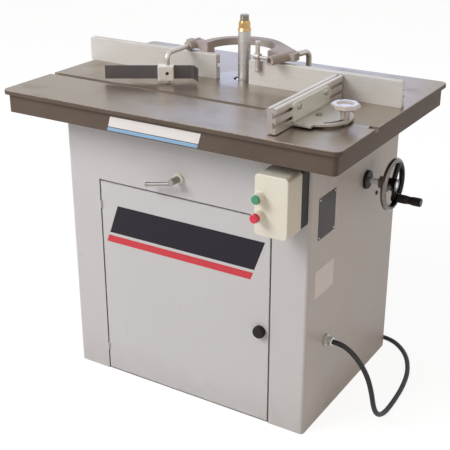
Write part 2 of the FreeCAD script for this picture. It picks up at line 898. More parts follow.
def make_door_knob():
    """Round knob, its shaft through the door and the cam that turns behind the frame lip."""
    face = cabinet_front - sliding_gap
    inner = cabinet_front + sheet + sliding_gap
    cam_front = cabinet_front + door_frame_depth + sheet + sliding_gap
    knob = along_y(latch_knob_radius, face - latch_knob_depth, face, latch_x, latch_z)
    knob = knob.makeFillet(latch_knob_dome,
                           [e for e in knob.Edges if e.BoundBox.YMax < face - latch_knob_depth / 2])
    shaft = along_y(latch_shaft_radius, face, cam_front + latch_cam_thickness, latch_x, latch_z)
    collar = along_y(latch_collar_radius, inner, inner + latch_collar_depth, latch_x, latch_z)
    cam = box(latch_x - latch_cam_width / 2, latch_x + latch_cam_width / 2, cam_front,
              cam_front + latch_cam_thickness, latch_z - latch_cam_length, latch_z + latch_cam_width / 2)
    return united(knob, shaft, collar, cam)


# Spindle, carriage and slide

def make_spindle():
    """Stepped spindle from its pulley seat to the threaded end."""
    low = belt_level - pulley_width / 2
    upper_bearing = barrel_top - bearing_width
    lower_bearing = barrel_bottom + bearing_width
    thread = spindle_top_z - spindle_thread_length
    profile = [(0, low), (pulley_seat_radius, low), (pulley_seat_radius, barrel_bottom - loose_gap),
               (journal_radius, barrel_bottom - loose_gap), (journal_radius, lower_bearing),
               (spindle_body_radius, lower_bearing), (spindle_body_radius, upper_bearing),
               (journal_radius, upper_bearing), (journal_radius, shoulder_z - shoulder_depth),
               (shoulder_radius, shoulder_z - shoulder_depth), (shoulder_radius, shoulder_z),
               (spindle_nose_radius, shoulder_z), (spindle_nose_radius, thread),
               (spindle_thread_radius, thread), (spindle_thread_radius, spindle_top_z - spindle_chamfer),
               (spindle_thread_radius - spindle_chamfer, spindle_top_z), (0, spindle_top_z)]
    return turned(profile, Vector(0, spindle_y, 0), Z_AXIS)


def make_collars():
    """Spacer collars stacked on the spindle nose."""
    collars = []
    low = shoulder_z
    for height in collar_heights:
        high = low + height
        profile = [(spindle_nose_radius, low), (collar_radius - collar_chamfer, low),
                   (collar_radius, low + collar_chamfer), (collar_radius, high - collar_chamfer),
                   (collar_radius - collar_chamfer, high), (spindle_nose_radius, high)]
        collars.append(turned(profile, Vector(0, spindle_y, 0), Z_AXIS))
        low = high
    return Part.makeCompound(collars)


def make_spindle_nut():
    """Flanged brass nut with a coned hexagon."""
    flange_top = collar_top + nut_flange_depth
    top = flange_top + nut_hex_depth
    corner = nut_flats / math.sqrt(3)
    hexagonal = hexagon(nut_flats, Vector(0, spindle_y, flange_top), Z_AXIS, nut_hex_depth)
    cone = Part.makeCone(nut_flange_radius, nut_flats / 2, nut_hex_depth, Vector(0, spindle_y, flange_top))
    flange = Part.makeCone(nut_flange_radius, corner, nut_flange_depth, Vector(0, spindle_y, collar_top))
    nut = united(flange, hexagonal.common(cone))
    thread = spindle_top_z - spindle_thread_length
    nut = nut.cut(upright(spindle_thread_radius, 0, spindle_y, collar_top, top))
    return nut.cut(upright(spindle_nose_radius, 0, spindle_y, collar_top,
                           max(thread, collar_top + loose_gap)))


def make_bearing(low):
    """Ball bearing with its shields as shallow grooves."""
    bore = journal_radius + running_clearance
    high = low + bearing_width
    profile = [(bore, low), (bearing_shield_inner, low), (bearing_shield_inner, low + bearing_groove),
               (bearing_shield_outer, low + bearing_groove), (bearing_shield_outer, low),
               (bearing_radius, low), (bearing_radius, high), (bearing_shield_outer, high),
               (bearing_shield_outer, high - bearing_groove),
               (bearing_shield_inner, high - bearing_groove), (bearing_shield_inner, high), (bore, high)]
    return turned(profile, Vector(0, spindle_y, 0), Z_AXIS)


def column_places():
    """Plan points of the guide columns."""
    return [(-column_x, column_y), (column_x, column_y)]


def plate_bolt_offsets():
    """Plan points of the bolts that hold the motor plate to the guides."""
    reach = (column_radius + guide_radius) / 2
    return [(x + side * reach, y) for x, y in column_places() for side in (-1, 1)]


def make_carriage():
    """Casting with the spindle barrel, two column guides, their webs and the nut arm."""
    left, right = column_places()
    spindle = (0, spindle_y)
    barrel = upright(barrel_radius, 0, spindle_y, barrel_bottom, barrel_top)
    guides = [upright(guide_radius, x, y, motor_plate_top, barrel_top) for x, y in (left, right)]
    webs = [strap(place, spindle, carriage_web, barrel_bottom, barrel_top) for place in (left, right)]
    front = strap(left, right, front_web, barrel_bottom + front_web_margin, barrel_top - front_web_margin)
    arm = strap(right, (screw_x, screw_y), nut_arm_radius, nut_arm_bottom, nut_arm_bottom + nut_arm_depth)
    carriage = united(barrel, *guides, *webs)
    carriage = united(united(carriage, front), arm)
    cuts = [upright(barrel_bore, 0, spindle_y, barrel_bottom, barrel_top)]
    cuts.append(upright(bearing_radius, 0, spindle_y, barrel_bottom, barrel_bottom + bearing_width))
    cuts.append(upright(bearing_radius, 0, spindle_y, barrel_top - bearing_width, barrel_top))
    cuts += [upright(column_radius + running_clearance, x, y, motor_plate_top, barrel_top)
             for x, y in (left, right)]
    cuts.append(upright(lift_nut_radius, screw_x, screw_y, nut_arm_bottom, nut_arm_bottom + nut_arm_depth))
    cuts += [upright(m8_radius, x, y, motor_plate_top, motor_plate_top + bolt_engagement)
             for x, y in plate_bolt_offsets()]
    return carriage.cut(cuts)


def make_columns():
    """Guide columns between the slide bracket and the lower tie."""
    return Part.makeCompound([upright(column_radius, x, y, tie_bottom, table_under)
                              for x, y in column_places()])


def make_slide_bracket():
    """Casting under the table: flange, column sockets and the leg that carries the lock screw."""
    plate = rounded_slab(bracket_left, bracket_right, bracket_front, bracket_back, bracket_bottom,
                         table_under, bracket_corner)
    leg = box(lock_x - lock_leg_width / 2, lock_x + lock_leg_width / 2, bracket_front,
              bracket_front + lock_leg_depth, lock_z - lock_leg_drop, bracket_bottom)
    cuts = [upright(bracket_opening, 0, spindle_y, bracket_bottom, table_under)]
    cuts += [upright(column_radius, x, y, bracket_bottom, table_under) for x, y in column_places()]
    cuts += [upright(m12_radius, x, y, bracket_bottom, table_under) for x, y in bracket_bolt_places()]
    cuts.append(upright(screw_journal_radius + running_clearance, screw_x, screw_y, bracket_bottom,
                        table_under))
    cuts.append(along_y(lock_screw_radius + running_clearance, bracket_front, bracket_front + lock_leg_depth,
                        lock_x, lock_z))
    return united(plate, leg).cut(cuts)


def make_slide_tie():
    """Lower tie between the columns, with the foot bearing of the lifting screw."""
    left, right = column_places()
    top = tie_bottom + tie_depth
    tie = united(strap(left, right, tie_radius, tie_bottom, top),
                 strap(right, (screw_x, screw_y), tie_radius, tie_bottom, top))
    cuts = [upright(column_radius, x, y, tie_bottom, top) for x, y in (left, right)]
    cuts.append(upright(screw_journal_radius + running_clearance, screw_x, screw_y, tie_bottom, top))
    return tie.cut(cuts)


def make_lift_nut():
    """Bronze nut pressed up into the carriage arm."""
    top = nut_arm_bottom + nut_arm_depth
    nut = united(upright(lift_nut_radius, screw_x, screw_y, nut_arm_bottom, top),
                 upright(lift_nut_flange_radius, screw_x, screw_y, nut_arm_bottom - lift_nut_flange_depth,
                         nut_arm_bottom))
    return nut.cut(upright(lift_screw_radius + running_clearance, screw_x, screw_y,
                           nut_arm_bottom - lift_nut_flange_depth, top))


def make_lift_screw():
    """Lifting screw with a journal at each end."""
    low = tie_bottom + tie_depth + sliding_gap
    high = bracket_bottom - sliding_gap
    return united(upright(lift_screw_radius, screw_x, screw_y, low, high),
                  upright(screw_journal_radius, screw_x, screw_y, tie_bottom, low),
                  upright(screw_journal_radius, screw_x, screw_y, high, table_under - loose_gap))


def make_bevel_gear(axis, bore):
    """Bevel gear that points at the meeting point of the two shafts; the axis runs from that point."""
    apex = Vector(screw_x, screw_y, wheel_axis_z)
    back = gear_radius + gear_mesh_gap
    front = back - gear_face
    profile = [(bore, front), (gear_radius - gear_face, front), (gear_radius, back), (gear_hub_radius, back),
               (gear_hub_radius, back + gear_hub_depth), (bore, back + gear_hub_depth)]
    gear = turned(profile, apex, axis)
    grooves = []
    across = axis.cross(Y_AXIS)
    for index in range(gear_tooth_count):
        turn = FreeCAD.Rotation(axis, 360 * index / gear_tooth_count)
        outward = turn.multVec(across)
        start = apex + axis * front + outward * (gear_radius - gear_face)
        end = apex + axis * back + outward * gear_radius
        overrun = (end - start) / gear_face
        grooves.append(rod(gear_groove_radius, start - overrun, end + overrun))
    return gear.cut(grooves)


def make_wheel_shaft():
    """Handwheel shaft from its bevel gear out to the wheel hub."""
    inner = screw_x + gear_radius + gear_mesh_gap - gear_face
    return along_x(wheel_shaft_radius, inner, cabinet_x + wheel_hub_outer, wheel_y, wheel_axis_z)


def make_wall_flange():
    """Flanged bush that carries the handwheel shaft in the cabinet side."""
    flange = along_x(wall_flange_radius, cabinet_x, cabinet_x + wall_flange_depth, wheel_y, wheel_axis_z)
    outer = cabinet_x + wall_flange_depth
    rim = [e for e in flange.Edges if e.BoundBox.XMin > outer - 1e-6]
    flange = flange.makeFillet(wall_flange_round, rim)
    sleeve = along_x(wall_sleeve_radius, cabinet_x - wall_sleeve_depth, cabinet_x, wheel_y, wheel_axis_z)
    bore = along_x(wheel_shaft_radius + running_clearance, cabinet_x - wall_sleeve_depth, outer, wheel_y,
                   wheel_axis_z)
    return united(flange, sleeve).cut(bore)


def make_handwheel():
    """Handwheel: round rim, three spokes, hub and the boss of the grip."""
    centre = Vector(wheel_x, wheel_y, wheel_axis_z)
    rim = Part.makeTorus(wheel_rim_radius, wheel_rim_section, centre, X_AXIS)
    hub = along_x(wheel_hub_radius, cabinet_x + wheel_hub_inner, cabinet_x + wheel_hub_outer, wheel_y,
                  wheel_axis_z)
    spokes = []
    for index in range(spoke_count):
        angle = math.radians(grip_angle + 360 * index / spoke_count)
        outward = Vector(0, math.cos(angle), math.sin(angle))
        spokes.append(rod(spoke_radius, centre, centre + outward * wheel_rim_radius))
    boss = along_x(grip_boss_radius, wheel_x - wheel_rim_section, wheel_x + wheel_rim_section, grip_y,
                   grip_z)
    wheel = united(rim, hub, *spokes, boss)
    cuts = [along_x(wheel_shaft_radius, cabinet_x + wheel_hub_inner, cabinet_x + wheel_hub_outer, wheel_y,
                    wheel_axis_z)]
    cuts.append(along_x(grip_bolt_radius, wheel_x - wheel_rim_section, wheel_x + wheel_rim_section, grip_y,
                        grip_z))
    return wheel.cut(cuts)


def make_grip():
    """Turning grip, slightly waisted, with its bolt head sunk in the end."""
    bore = grip_bolt_radius + running_clearance
    recess = grip_length - grip_bolt_head_depth - sliding_gap
    edge = grip_radius - grip_waist
    outer = [(grip_waist, 0), (grip_radius, edge), (grip_radius, grip_shoulder),
             (grip_waist, grip_length / 2),
             (grip_radius, grip_length - grip_shoulder), (grip_radius, grip_length - edge),
             (grip_waist, grip_length)]
    inner = [(grip_bolt_head + sliding_gap, grip_length), (grip_bolt_head + sliding_gap, recess),
             (bore, recess), (bore, 0)]
    return turned(outer + inner, Vector(grip_x, grip_y, grip_z), X_AXIS)


def make_grip_bolt():
    """Shoulder bolt on which the grip turns."""
    head = grip_x + grip_length - grip_bolt_head_depth
    return united(along_x(grip_bolt_radius, wheel_x - wheel_rim_section, head, grip_y, grip_z),
                  along_x(grip_bolt_head, head, grip_x + grip_length, grip_y, grip_z))


# Motor and belts

def motor_bolt_places():
    """Plan points of the motor flange bolts."""
    angles = [math.radians(motor_bolt_angle + 360 * index / motor_bolt_count)
              for index in range(motor_bolt_count)]
    return [(motor_x + motor_bolt_circle * math.cos(a), motor_y + motor_bolt_circle * math.sin(a))
            for a in angles]


def make_motor_plate():
    """Plate under the guides that carries the motor."""
    left, right = column_places()
    motor = (motor_x, motor_y)
    low = motor_plate_bottom
    top = motor_plate_top
    plate = united(strap(left, right, guide_radius + motor_plate_margin, low, top),
                   strap(left, motor, motor_arm_radius, low, top),
                   upright(motor_flange_radius + motor_plate_margin, motor_x, motor_y, low, top))
    cuts = [upright(column_radius + loose_gap, x, y, low, top) for x, y in (left, right)]
    cuts.append(upright(motor_shaft_radius + loose_gap, motor_x, motor_y, low, top))
    cuts += [upright(m8_radius, x, y, low, top) for x, y in plate_bolt_offsets()]
    cuts += [upright(m10_radius, x, y, low, top) for x, y in motor_bolt_places()]
    return plate.cut(cuts)


def make_plate_bolts():
    """Bolts that hold the motor plate to the guides and the motor to its plate."""
    up = [bolt(m8_radius, m8_flats, Vector(x, y, motor_plate_bottom), Z_AXIS,
               motor_plate_thickness + bolt_engagement)
          for x, y in plate_bolt_offsets()]
    down = [bolt(m10_radius, m10_flats, Vector(x, y, motor_plate_top), Z_AXIS * -1,
                 motor_plate_thickness + motor_flange_depth) for x, y in motor_bolt_places()]
    return Part.makeCompound(up + down)


def make_motor():
    """Finned motor body with its flange and end bell."""
    top = motor_plate_bottom
    flange = upright(motor_flange_radius, motor_x, motor_y, top - motor_flange_depth, top)
    core = upright(motor_core_radius, motor_x, motor_y, motor_bottom, top)
    fin_low = motor_bottom + motor_end_depth
    fin_high = top - motor_flange_depth
    fins = []
    for index in range(motor_fin_count):
        fin = box(0, motor_core_radius + motor_fin_height, -motor_fin_width / 2, motor_fin_width / 2,
                  fin_low, fin_high)
        fin.rotate(Vector(0, 0, 0), Z_AXIS, 360 * index / motor_fin_count)
        fin.translate(Vector(motor_x, motor_y, 0))
        fins.append(fin)
    bell = core.makeFillet(motor_end_depth / 2,
                           [e for e in core.Edges if e.BoundBox.ZMax < motor_bottom + 1e-6])
    cuts = [upright(motor_shaft_radius + running_clearance, motor_x, motor_y, top - motor_shaft_socket, top)]
    cuts += [upright(m10_radius, x, y, top - motor_flange_depth, top) for x, y in motor_bolt_places()]
    return united(flange, bell, *fins).cut(cuts)


def make_fan_cover():
    """Slotted cup over the fan end of the motor."""
    low = motor_bottom - fan_cover_depth + motor_end_depth
    high = motor_bottom + motor_end_depth
    cup = upright(fan_cover_radius, motor_x, motor_y, low, high)
    cup = cup.makeFillet(fan_cover_round, [e for e in cup.Edges if e.BoundBox.ZMax < low + 1e-6])
    cuts = [upright(fan_cover_radius - fan_cover_wall, motor_x, motor_y, low + fan_cover_wall, motor_bottom)]
    cuts.append(upright(motor_core_radius, motor_x, motor_y, motor_bottom, high))
    for index in range(-fan_slot_half_count, fan_slot_half_count + 1):
        y = index * fan_slot_pitch
        half = math.sqrt(fan_slot_circle ** 2 - y ** 2)
        cuts.append(box(motor_x - half, motor_x + half, motor_y + y - fan_slot_width / 2,
                        motor_y + y + fan_slot_width / 2, low, low + fan_cover_wall))
    return cup.cut(cuts)


def make_terminal_box():
    """Terminal box on the front of the motor."""
    back = motor_y - motor_core_radius - motor_fin_height
    high = motor_plate_bottom - motor_flange_depth - terminal_drop
    body = rounded_slab(motor_x - terminal_width / 2, motor_x + terminal_width / 2, back - terminal_depth,
                        back, high - terminal_height, high, terminal_round, Y_AXIS)
    neck_half = terminal_neck_width / 2
    neck = box(motor_x - neck_half, motor_x + neck_half, back, motor_y,
               high - terminal_height + terminal_round, high - terminal_round)
    motor = upright(motor_core_radius + motor_fin_height + sliding_gap, motor_x, motor_y, motor_bottom,
                    motor_plate_bottom)
    return united(body, neck.cut(motor))


def pulley_profile(pitch, bore):
    """Half section of a pulley with two V grooves."""
    rim = pitch + pulley_rim
    floor = pitch - pulley_groove_floor
    slope = (belt_top_width - belt_bottom_width) / 2 / belt_thickness
    middle_half = (belt_top_width + belt_bottom_width) / 4 + belt_clearance
    rim_half = middle_half + slope * pulley_rim
    floor_half = middle_half - slope * pulley_groove_floor
    low = belt_level - pulley_width / 2
    profile = [(bore, low), (rim, low)]
    for side in (-1, 1):
        z = belt_level + side * belt_spacing / 2
        profile += [(rim, z - rim_half), (floor, z - floor_half), (floor, z + floor_half),
                    (rim, z + rim_half)]
    return profile + [(rim, low + pulley_width), (bore, low + pulley_width)]


def make_spindle_pulley():
    """Two-groove pulley on the spindle."""
    return turned(pulley_profile(spindle_pulley_pitch, pulley_seat_radius), Vector(0, spindle_y, 0), Z_AXIS)


def make_motor_pulley():
    """Two-groove pulley on the motor shaft."""
    return turned(pulley_profile(motor_pulley_pitch, motor_shaft_radius), Vector(motor_x, motor_y, 0),
                  Z_AXIS)


def make_motor_shaft():
    """Motor shaft that stands out of the flange."""
    return upright(motor_shaft_radius, motor_x, motor_y, motor_plate_bottom - motor_shaft_socket + loose_gap,
                   belt_level + pulley_width / 2)


def make_belts():
    """Two V-belts round the pulleys, each swept along two straight runs and two arcs."""
    small = Vector(0, spindle_y, 0)
    large = Vector(motor_x, motor_y, 0)
    line = large - small
    lean = math.asin((motor_pulley_pitch - spindle_pulley_pitch) / line.Length)
    ahead = Vector(line).normalize()
    normals = [FreeCAD.Rotation(Z_AXIS, side * math.degrees(math.pi / 2 + lean)).multVec(ahead)
               for side in (1, -1)]
    belts = []
    for side in (-1, 1):
        rise = Z_AXIS * (belt_level + side * belt_spacing / 2)
        left, right = [(small + n * spindle_pulley_pitch + rise, large + n * motor_pulley_pitch + rise)
                       for n in normals]
        far = large + ahead * motor_pulley_pitch + rise
        near = small - ahead * spindle_pulley_pitch + rise
        path = Part.Wire([Part.LineSegment(left[0], left[1]).toShape(),
                          Part.Arc(left[1], far, right[1]).toShape(),
                          Part.LineSegment(right[1], right[0]).toShape(),
                          Part.Arc(right[0], near, left[0]).toShape()])
        outward = normals[0] * (belt_thickness / 2)
        wide = Z_AXIS * (belt_top_width / 2)
        narrow = Z_AXIS * (belt_bottom_width / 2)
        corners = [left[0] + outward + wide, left[0] + outward - wide, left[0] - outward - narrow,
                   left[0] - outward + narrow]
        section = Part.Wire(Part.makePolygon(corners + corners[:1]))
        belts.append(path.makePipeShell([section], True, False))
    return Part.makeCompound(belts)


# Lock lever and switch box

def make_lock_bush():
    """Pale bush in the cabinet front, round the lock screw."""
    front = cabinet_front - lock_bush_depth
    bush = united(along_y(lock_bush_radius, front, cabinet_front, lock_x, lock_z),
                  along_y(lock_bush_sleeve, cabinet_front, cabinet_front + lock_sleeve_depth, lock_x,
                          lock_z))
    return bush.cut(along_y(lock_screw_radius + running_clearance, front, cabinet_front + lock_sleeve_depth,
                            lock_x, lock_z))


def make_lock_lever():
    """Lock screw with its hub and the slim arm that turns it."""
    bush_face = cabinet_front - lock_bush_depth - sliding_gap
    hub_end = bush_face - lock_hub_length
    inner = column_y - front_web - sliding_gap
    hub = along_y(lock_hub_radius, hub_end, bush_face, lock_x, lock_z)
    hub = hub.makeFillet(lock_hub_round, [e for e in hub.Edges if e.BoundBox.YMax < hub_end + 1e-6])
    screw = along_y(lock_screw_radius, bush_face, inner, lock_x, lock_z)
    tilt = math.radians(lock_arm_tilt)
    root = Vector(lock_x, bush_face - lock_arm_place, lock_z - lock_arm_drop)
    tip = root + Vector(-math.cos(tilt), 0, -math.sin(tilt)) * lock_arm_length
    return united(hub, screw, rod(lock_arm_radius, root, tip), Part.makeSphere(lock_tip_radius, tip))


def make_switch_base():
    """Dark base of the switch box, fixed to the cabinet front."""
    inset = switch_base_inset
    return rounded_slab(switch_left + inset, switch_right - inset, cabinet_front - switch_base_depth,
                        cabinet_front,
                        switch_bottom + inset, switch_top - inset, switch_corner - inset, Y_AXIS)


def make_switch_cover():
    """Pale cover: a rounded cup with holes for the buttons."""
    back = cabinet_front - switch_base_depth
    cover = rounded_slab(switch_left, switch_right, switch_face, back, switch_bottom, switch_top,
                         switch_corner, Y_AXIS)
    cover = cover.makeFillet(switch_front_round,
                             [e for e in cover.Edges if e.BoundBox.YMax < switch_face + 1e-6])
    wall = switch_wall
    hollow = rounded_slab(switch_left + wall, switch_right - wall, switch_face + wall, back,
                          switch_bottom + wall, switch_top - wall, switch_corner - wall, Y_AXIS)
    cuts = [hollow]
    cuts += [along_y(button_stem_radius + sliding_gap, switch_face, switch_face + wall, button_x, z)
             for z in (start_z, stop_z)]
    return cover.cut(cuts)


def make_button_collars():
    """Collars round the two buttons."""
    outer = switch_face - button_collar_depth
    collars = []
    for z in (start_z, stop_z):
        collar = along_y(button_collar_radius, outer, switch_face, button_x, z)
        rim = [e for e in collar.Edges if e.BoundBox.YMax < outer + 1e-6]
        collar = collar.makeFillet(button_collar_round, rim)
        collars.append(collar.cut(along_y(button_radius + sliding_gap, outer, switch_face, button_x, z)))
    return Part.makeCompound(collars)


def make_button(z, reach):
    """Push button: round cap and the stem through the cover."""
    outer = switch_face - reach
    seat = switch_face - button_seat
    cap = along_y(button_radius, outer, seat, button_x, z)
    cap = cap.makeFillet(button_round, [e for e in cap.Edges if e.BoundBox.YMax < outer + 1e-6])
    return united(cap, along_y(button_stem_radius, seat, switch_face + button_stem_length, button_x, z))


# Fence

def plate_span(side):
    """Left and right ends of a fence plate."""
    near = fence_x + side * fence_gap / 2
    return sorted((near, near + side * fence_plate_length))


def make_fence_plate(side):
    """Fence plate with a tee slot along its back."""
    left, right = plate_span(side)
    plate = box(left, right, fence_face_y, fence_back_y, fence_floor, fence_plate_top)
    plate = plate.makeFillet(fence_plate_corner, [e for e in edges_along(plate, Y_AXIS)
                                                  if e.BoundBox.ZMin > fence_floor + fence_plate_corner])
    outline = [e for e in plate.Edges if e.BoundBox.YLength < 1e-6 and e.BoundBox.ZMax > fence_floor + 1e-6]
    plate = plate.makeFillet(fence_plate_round, outline)
    middle = fence_floor + fence_slot_z
    floor = fence_back_y - fence_slot_floor
    neck = box(left, right, floor, fence_back_y, middle - fence_slot_neck / 2, middle + fence_slot_neck / 2)
    head = box(left, right, floor, fence_back_y - fence_slot_lip, middle - fence_slot_head / 2,
               middle + fence_slot_head / 2)
    return plate.cut(united(neck, head))


def plate_bolt_xs(side):
    """Places along X of the bolts that hold a plate to the bow."""
    return [fence_x + side * (bow_outer + place) for place in plate_bolt_places]


def right_turned(shape):
    """A piece of the right rod's group, turned about its lug from the Y direction to the rod's own."""
    shape.rotate(Vector(lug_right_x, lug_y, rod_z), Z_AXIS, -right_rod_turn)
    return shape


def make_bow_web():
    """Flat web from the back of the bow to the outer corner of the right lug."""
    corner = Vector(lug_right_x + lug_half_width, lug_back, bow_bottom)
    across = corner - Vector(fence_x, bow_y, bow_bottom)
    angle = math.atan2(across.y, across.x) + math.acos(bow_outer / across.Length)
    touch = Vector(fence_x + bow_outer * math.cos(angle), bow_y + bow_outer * math.sin(angle), bow_bottom)
    return prism([touch, corner, Vector(fence_x + leg_middle, lug_back, bow_bottom)], Z_AXIS * bow_depth)


def make_fence_side(side):
    """One side of the fence casting: lug, leg, plate flange and foot."""
    flange_front = fence_back_y + sliding_gap
    flange_back = flange_front + flange_thickness
    inner, outer = sorted((fence_x + side * bow_inner, fence_x + side * bow_outer))
    lug_x = lug_left_x if side < 0 else lug_right_x
    lug_inner, lug_outer = sorted((fence_x + side * bow_inner, lug_x + side * lug_half_width))
    lug = rounded_slab(lug_inner, lug_outer, lug_front, lug_back, bow_bottom, bow_top, bow_round)
    leg = box(inner, outer, flange_front, flange_back + leg_depth, fence_floor, bow_bottom)
    flange_inner, flange_outer = sorted((fence_x + side * bow_inner,
                                         fence_x + side * (bow_outer + flange_reach)))
    flange = box(flange_inner, flange_outer, flange_front, flange_back, fence_floor + flange_margin,
                 fence_plate_top - flange_margin)
    stud_x = fence_x + side * stud_spread
    foot = rounded_slab(stud_x - foot_half_width(), stud_x + foot_half_width(), flange_front, foot_back,
                        fence_floor, fence_floor + foot_depth, bow_round)
    cuts = [along_y(m10_radius, flange_front, flange_back, x, fence_floor + fence_slot_z)
            for x in plate_bolt_xs(side)]
    cuts.append(strap((stud_x, stud_y), (stud_x, stud_y - fence_travel), stud_slot_radius, fence_floor,
                      fence_floor + foot_depth))
    return united(lug, leg, flange, foot).cut(cuts)


def make_fence_bow():
    """Fence casting: bow round the spindle, rod bosses, and a side with leg and foot at each end."""
    centre = Vector(fence_x, bow_y, bow_bottom)
    ring = Part.makeCylinder(bow_outer, bow_depth, centre, Z_AXIS, 180)
    ring = ring.cut(Part.makeCylinder(bow_inner, bow_depth, centre))
    left_boss = along_y(rod_boss_radius, left_boss_front, rod_boss_back, lug_left_x, rod_z)
    right_boss = right_turned(along_y(rod_boss_radius, right_boss_front, rod_boss_back, lug_right_x, rod_z))
    casting = united(ring, make_bow_web(), left_boss, right_boss, make_fence_side(-1), make_fence_side(1))
    cuts = [along_y(rod_radius + running_clearance, left_boss_front, rod_boss_back, lug_left_x, rod_z)]
    cuts.append(right_turned(along_y(parked_rod_radius + running_clearance, right_boss_front,
                                     rod_boss_back + web_bore_reach, lug_right_x, rod_z)))
    cuts.append(right_turned(along_x(clamp_screw_radius + running_clearance, lug_right_x - rod_boss_radius,
                                     lug_right_x, clamp_y, rod_z)))
    seat = rod_screw_seat()
    cuts.append(rod(screw_radius, Vector(seat.x, seat.y, rod_z), seat))
    cuts.append(Part.makeCylinder(screw_head_radius + sliding_gap, spot_face_depth, seat))
    return casting.cut(cuts)


def rod_screw_seat():
    """Seat of the screw that holds the left rod, on top of its boss."""
    return Vector(lug_left_x, lug_back - rod_boss_radius, rod_z + rod_boss_radius - spot_face_depth)


def foot_half_width():
    """Half the width of a fence foot."""
    return leg_half_width + fence_knob_radius / 2


def make_plate_tee_bolts():
    """Square-headed bolts in the plate slots, with their nuts behind the flange, and the left rod's screw."""
    middle = fence_floor + fence_slot_z
    head_back = fence_back_y - fence_slot_lip - sliding_gap
    flange_back = fence_back_y + sliding_gap + flange_thickness
    nut_depth = 2 * m10_radius * bolt_head_share
    end = flange_back + nut_depth + bolt_end
    half = bolt_head_square / 2
    bolts = []
    for side in (-1, 1):
        for x in plate_bolt_xs(side):
            head = box(x - half, x + half, head_back - bolt_head_thickness, head_back, middle - half,
                       middle + half)
            nut = hexagon(m10_flats, Vector(x, flange_back, middle), Y_AXIS, nut_depth)
            bolts.append(united(head, along_y(m10_radius, head_back, end, x, middle), nut))
    seat = rod_screw_seat()
    bolts.append(pan_screw(seat, Z_AXIS * -1, seat.z - rod_z - rod_radius - running_clearance))
    return Part.makeCompound(bolts)


def make_studs():
    """Studs in the table that guide and clamp the fence feet."""
    top = fence_floor + foot_depth + stud_height
    return Part.makeCompound([upright(m12_radius, x, y, table_under, top) for x, y in stud_places()])


def make_fence_knob(side):
    """Lobed knob that clamps a fence foot."""
    x = fence_x + side * stud_spread
    low = fence_floor + foot_depth + sliding_gap
    knob = upright(fence_knob_radius, x, stud_y, low, low + fence_knob_depth)
    grips = []
    for index in range(fence_knob_lobes):
        angle = 2 * math.pi * index / fence_knob_lobes
        grips.append(upright(fence_knob_lobe_radius, x + fence_knob_lobe_circle * math.cos(angle),
                             stud_y + fence_knob_lobe_circle * math.sin(angle), low, low + fence_knob_depth))
    grips.append(upright(m12_radius + running_clearance, x, stud_y, low, low + fence_knob_depth))
    return knob.cut(grips)


def make_rod_clamp():
    """Tee-bar screw that clamps the right rod."""
    inner = lug_right_x - parked_rod_radius - running_clearance
    outer = lug_right_x - clamp_reach
    hub_end = outer + clamp_hub_length
    bar_x = (outer + hub_end) / 2
    half = tee_bar_length / 2
    pieces = [along_x(clamp_screw_radius, hub_end, inner, clamp_y, rod_z),
              along_x(clamp_hub_radius, outer, hub_end, clamp_y, rod_z),
              upright(tee_bar_radius, bar_x, clamp_y, rod_z - half, rod_z + half)]
    for low in (rod_z - half, rod_z + half - tee_knob_length):
        knob = upright(tee_knob_radius, bar_x, clamp_y, low, low + tee_knob_length)
        pieces.append(knob.makeFillet(tee_knob_round, [e for e in knob.Edges if e.Closed]))
    return right_turned(united(*pieces))


# Hold-down and parked rod

def make_hold_rod():
    """Bent rod from the left lug out over the work and down to the block."""
    points = [Vector(lug_left_x, rod_boss_back + rod_back_reach, rod_z), Vector(lug_left_x, hold_y, rod_z),
              Vector(lug_left_x, hold_y, table_top_z + rod_foot_gap)]
    return bent_rod(points, rod_bend, rod_radius)


def make_parked_rod():
    """Second rod, parked in the right lug with its hook to the back."""
    points = [Vector(lug_right_x, parked_rod_front, rod_z), Vector(lug_right_x, parked_rod_bend_y, rod_z),
              Vector(lug_right_x, parked_rod_bend_y, parked_rod_bottom)]
    return right_turned(bent_rod(points, rod_bend, parked_rod_radius))


def swung(shape):
    """The shape turned about the hold-down rod and moved to it."""
    shape.rotate(Vector(0, 0, 0), Z_AXIS, hold_angle)
    shape.translate(Vector(lug_left_x, hold_y, 0))
    return shape


def band_section(grow):
    """The band's plan section and height, grown on all sides by a gap."""
    half = band_height / 2 + grow
    thick = band_thickness / 2 + grow
    return band_offset - thick, band_offset + thick, band_z - half, band_z + half


def make_hold_block():
    """Clamp block on the rod, with the slot for the band and the recess of its screw."""
    front = block_shift - block_depth / 2
    back = block_shift + block_depth / 2
    top = block_bottom + block_height
    left = -block_offset - block_width / 2
    right = left + block_width
    block = box(left, right, front, back, block_bottom, top)
    block = block.makeFillet(block_round, block.Edges)
    y0, y1, z0, z1 = band_section(0)
    cuts = [box(left, right, y0, y1, z0, z1)]
    cuts.append(upright(rod_radius + running_clearance, 0, 0, block_bottom, top))
    cuts.append(along_y(block_screw_radius, front, -rod_radius, 0, (block_bottom + top) / 2))
    return swung(block.cut(cuts))


def make_hold_screw():
    """Set screw in the block, sunk below its face."""
    front = block_shift - block_depth / 2 + block_screw_recess
    return swung(along_y(block_screw_radius, front, -rod_radius - running_clearance, 0,
                         block_bottom + block_height / 2))


